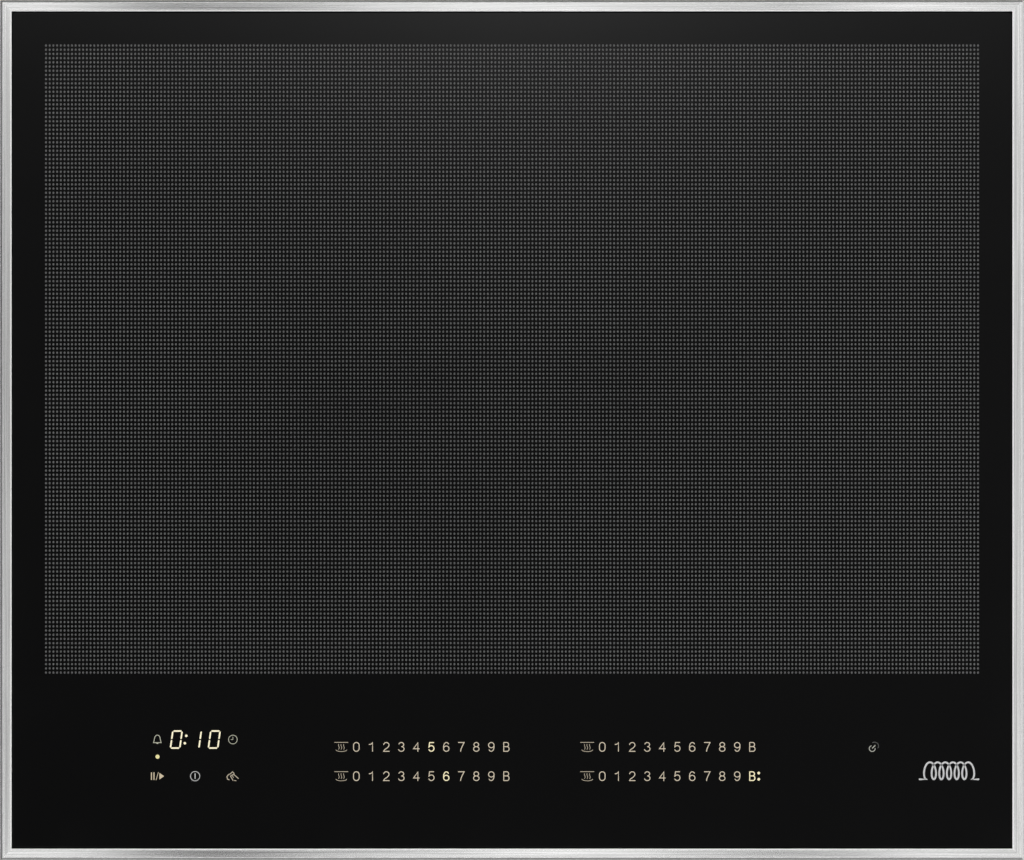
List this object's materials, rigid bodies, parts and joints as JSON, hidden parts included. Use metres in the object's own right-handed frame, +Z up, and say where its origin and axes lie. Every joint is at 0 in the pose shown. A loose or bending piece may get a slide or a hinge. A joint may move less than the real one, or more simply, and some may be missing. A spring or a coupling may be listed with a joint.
{
  "type": "induction cooktop",
  "caption": "Built-in electric induction cooktop: black glass in a brushed steel frame over a sheet-metal casing with coils, power electronics, fans, touch controls and a mains terminal box.",
  "frame": {"origin": "middle of the footprint, on the flat underside of the casing", "axes": "+Z up through the glass, +Y towards the rear with the mains terminals, +X to the right as the user faces it; the control strip is along -Y"},
  "size_m": [0.626, 0.526, 0.0577],
  "materials": {
    "black_glass_ceramic": "high gloss",
    "brushed_stainless": "brushed along each side",
    "black_silicone": "matte",
    "foam_seal": "closed-cell foam, matte",
    "galvanised_steel": "zinc-coated sheet",
    "zinc_plated_steel": "bright zinc",
    "spring_steel": "hardened strip",
    "label_film": "matte silver film",
    "mica": "translucent mica board",
    "aluminium_plate": "mill finish",
    "copper_litz": "enamelled litz",
    "black_plastic": "moulded, fine texture",
    "ferrite": "sintered",
    "white_ceramic": "matte",
    "circuit_board": "solder mask",
    "capacitor_yellow": "box film capacitor",
    "choke_core": "wound core",
    "brass_hardware": "machined",
    "motor_steel": "stamped motor can",
    "light_box": "diffusing",
    "flat_cable": "ribbon",
    "white_plastic": "polyamide"
  },
  "bodies": {
    "casing": {"glass_top": "black_glass_ceramic", "trim_frame": "brushed_stainless", "edge_sealant": "black_silicone", "worktop_seal": "foam_seal", "casing_tray": "galvanised_steel", "casing_brackets": "galvanised_steel", "casing_screws": "zinc_plated_steel", "rating_plate": "label_film", "insulation_film": "mica", "spring_feet": "spring_steel", "spring_rivets": "zinc_plated_steel", "carrier_springs": "spring_steel", "carrier_posts": "zinc_plated_steel", "power_board_left": "circuit_board", "power_board_right": "circuit_board", "heat_sink_left": "aluminium_plate", "heat_sink_right": "aluminium_plate", "power_transistors": "ferrite", "film_capacitors": "capacitor_yellow", "filter_board": "circuit_board", "filter_choke": "choke_core", "board_standoffs": "brass_hardware", "board_screws": "zinc_plated_steel", "fan_housing_left": "black_plastic", "fan_housing_right": "black_plastic", "fan_motor_left": "motor_steel", "fan_motor_right": "motor_steel", "intake_grilles": "black_plastic", "control_carrier": "black_plastic", "control_board": "circuit_board", "display_modules": "light_box", "touch_springs": "spring_steel", "ribbon_cable": "flat_cable", "terminal_box": "black_plastic", "terminal_block": "white_plastic", "terminal_screws": "brass_hardware", "cable_clamp": "white_plastic", "cover_hinge_pin": "zinc_plated_steel"},
    "carrier": {"coil_carrier": "aluminium_plate", "coil_1": "copper_litz", "coil_2": "copper_litz", "coil_3": "copper_litz", "coil_4": "copper_litz", "coil_5": "copper_litz", "coil_6": "copper_litz", "coil_7": "copper_litz", "coil_8": "copper_litz", "coil_formers": "black_plastic", "ferrite_bars": "ferrite", "mica_sheet": "mica", "sensor_pads": "white_ceramic"},
    "fan_left": {"fan_rotor_left": "black_plastic", "fan_shaft_left": "zinc_plated_steel"},
    "fan_right": {"fan_rotor_right": "black_plastic", "fan_shaft_right": "zinc_plated_steel"},
    "spring_leaf_1": {"side_spring_1": "spring_steel"},
    "spring_leaf_2": {"side_spring_2": "spring_steel"},
    "spring_leaf_3": {"side_spring_3": "spring_steel"},
    "spring_leaf_4": {"side_spring_4": "spring_steel"},
    "cover": {"terminal_cover": "black_plastic"}
  },
  "joints": [
    {"name": "fan_spin_left", "type": "hinge", "parent": "casing", "child": "fan_left", "pos_m": [-0.125, 0.185, 0.02], "axis": [0, 0, 1], "continuous": true},
    {"name": "fan_spin_right", "type": "hinge", "parent": "casing", "child": "fan_right", "pos_m": [0.125, 0.185, 0.02], "axis": [0, 0, 1], "continuous": true},
    {"name": "cover_hinge", "type": "hinge", "parent": "casing", "child": "cover", "pos_m": [0.23, 0.24775, 0.0064], "axis": [-1, 0, 0], "range_deg": [0, 95]},
    {"name": "carrier_float", "type": "slide", "parent": "casing", "child": "carrier", "axis": [0, 0, 1], "range_m": [-0.002, 0], "stiffness_N_per_m": 24000, "springref_m": 0.003, "deforming": ["carrier_springs"]},
    {"name": "leaf_flex_1", "type": "hinge", "parent": "casing", "child": "spring_leaf_1", "pos_m": [0.2947, -0.15, 0.018], "axis": [0, -1, 0], "range_deg": [0, 6.5], "stiffness_Nm_per_rad": 4, "springref_deg": -2.86},
    {"name": "leaf_flex_2", "type": "hinge", "parent": "casing", "child": "spring_leaf_2", "pos_m": [0.2947, 0.15, 0.018], "axis": [0, -1, 0], "range_deg": [0, 6.5], "stiffness_Nm_per_rad": 4, "springref_deg": -2.86},
    {"name": "leaf_flex_3", "type": "hinge", "parent": "casing", "child": "spring_leaf_3", "pos_m": [-0.2947, -0.15, 0.018], "axis": [0, 1, 0], "range_deg": [0, 6.5], "stiffness_Nm_per_rad": 4, "springref_deg": -2.86},
    {"name": "leaf_flex_4", "type": "hinge", "parent": "casing", "child": "spring_leaf_4", "pos_m": [-0.2947, 0.15, 0.018], "axis": [0, 1, 0], "range_deg": [0, 6.5], "stiffness_Nm_per_rad": 4, "springref_deg": -2.86}
  ]
}
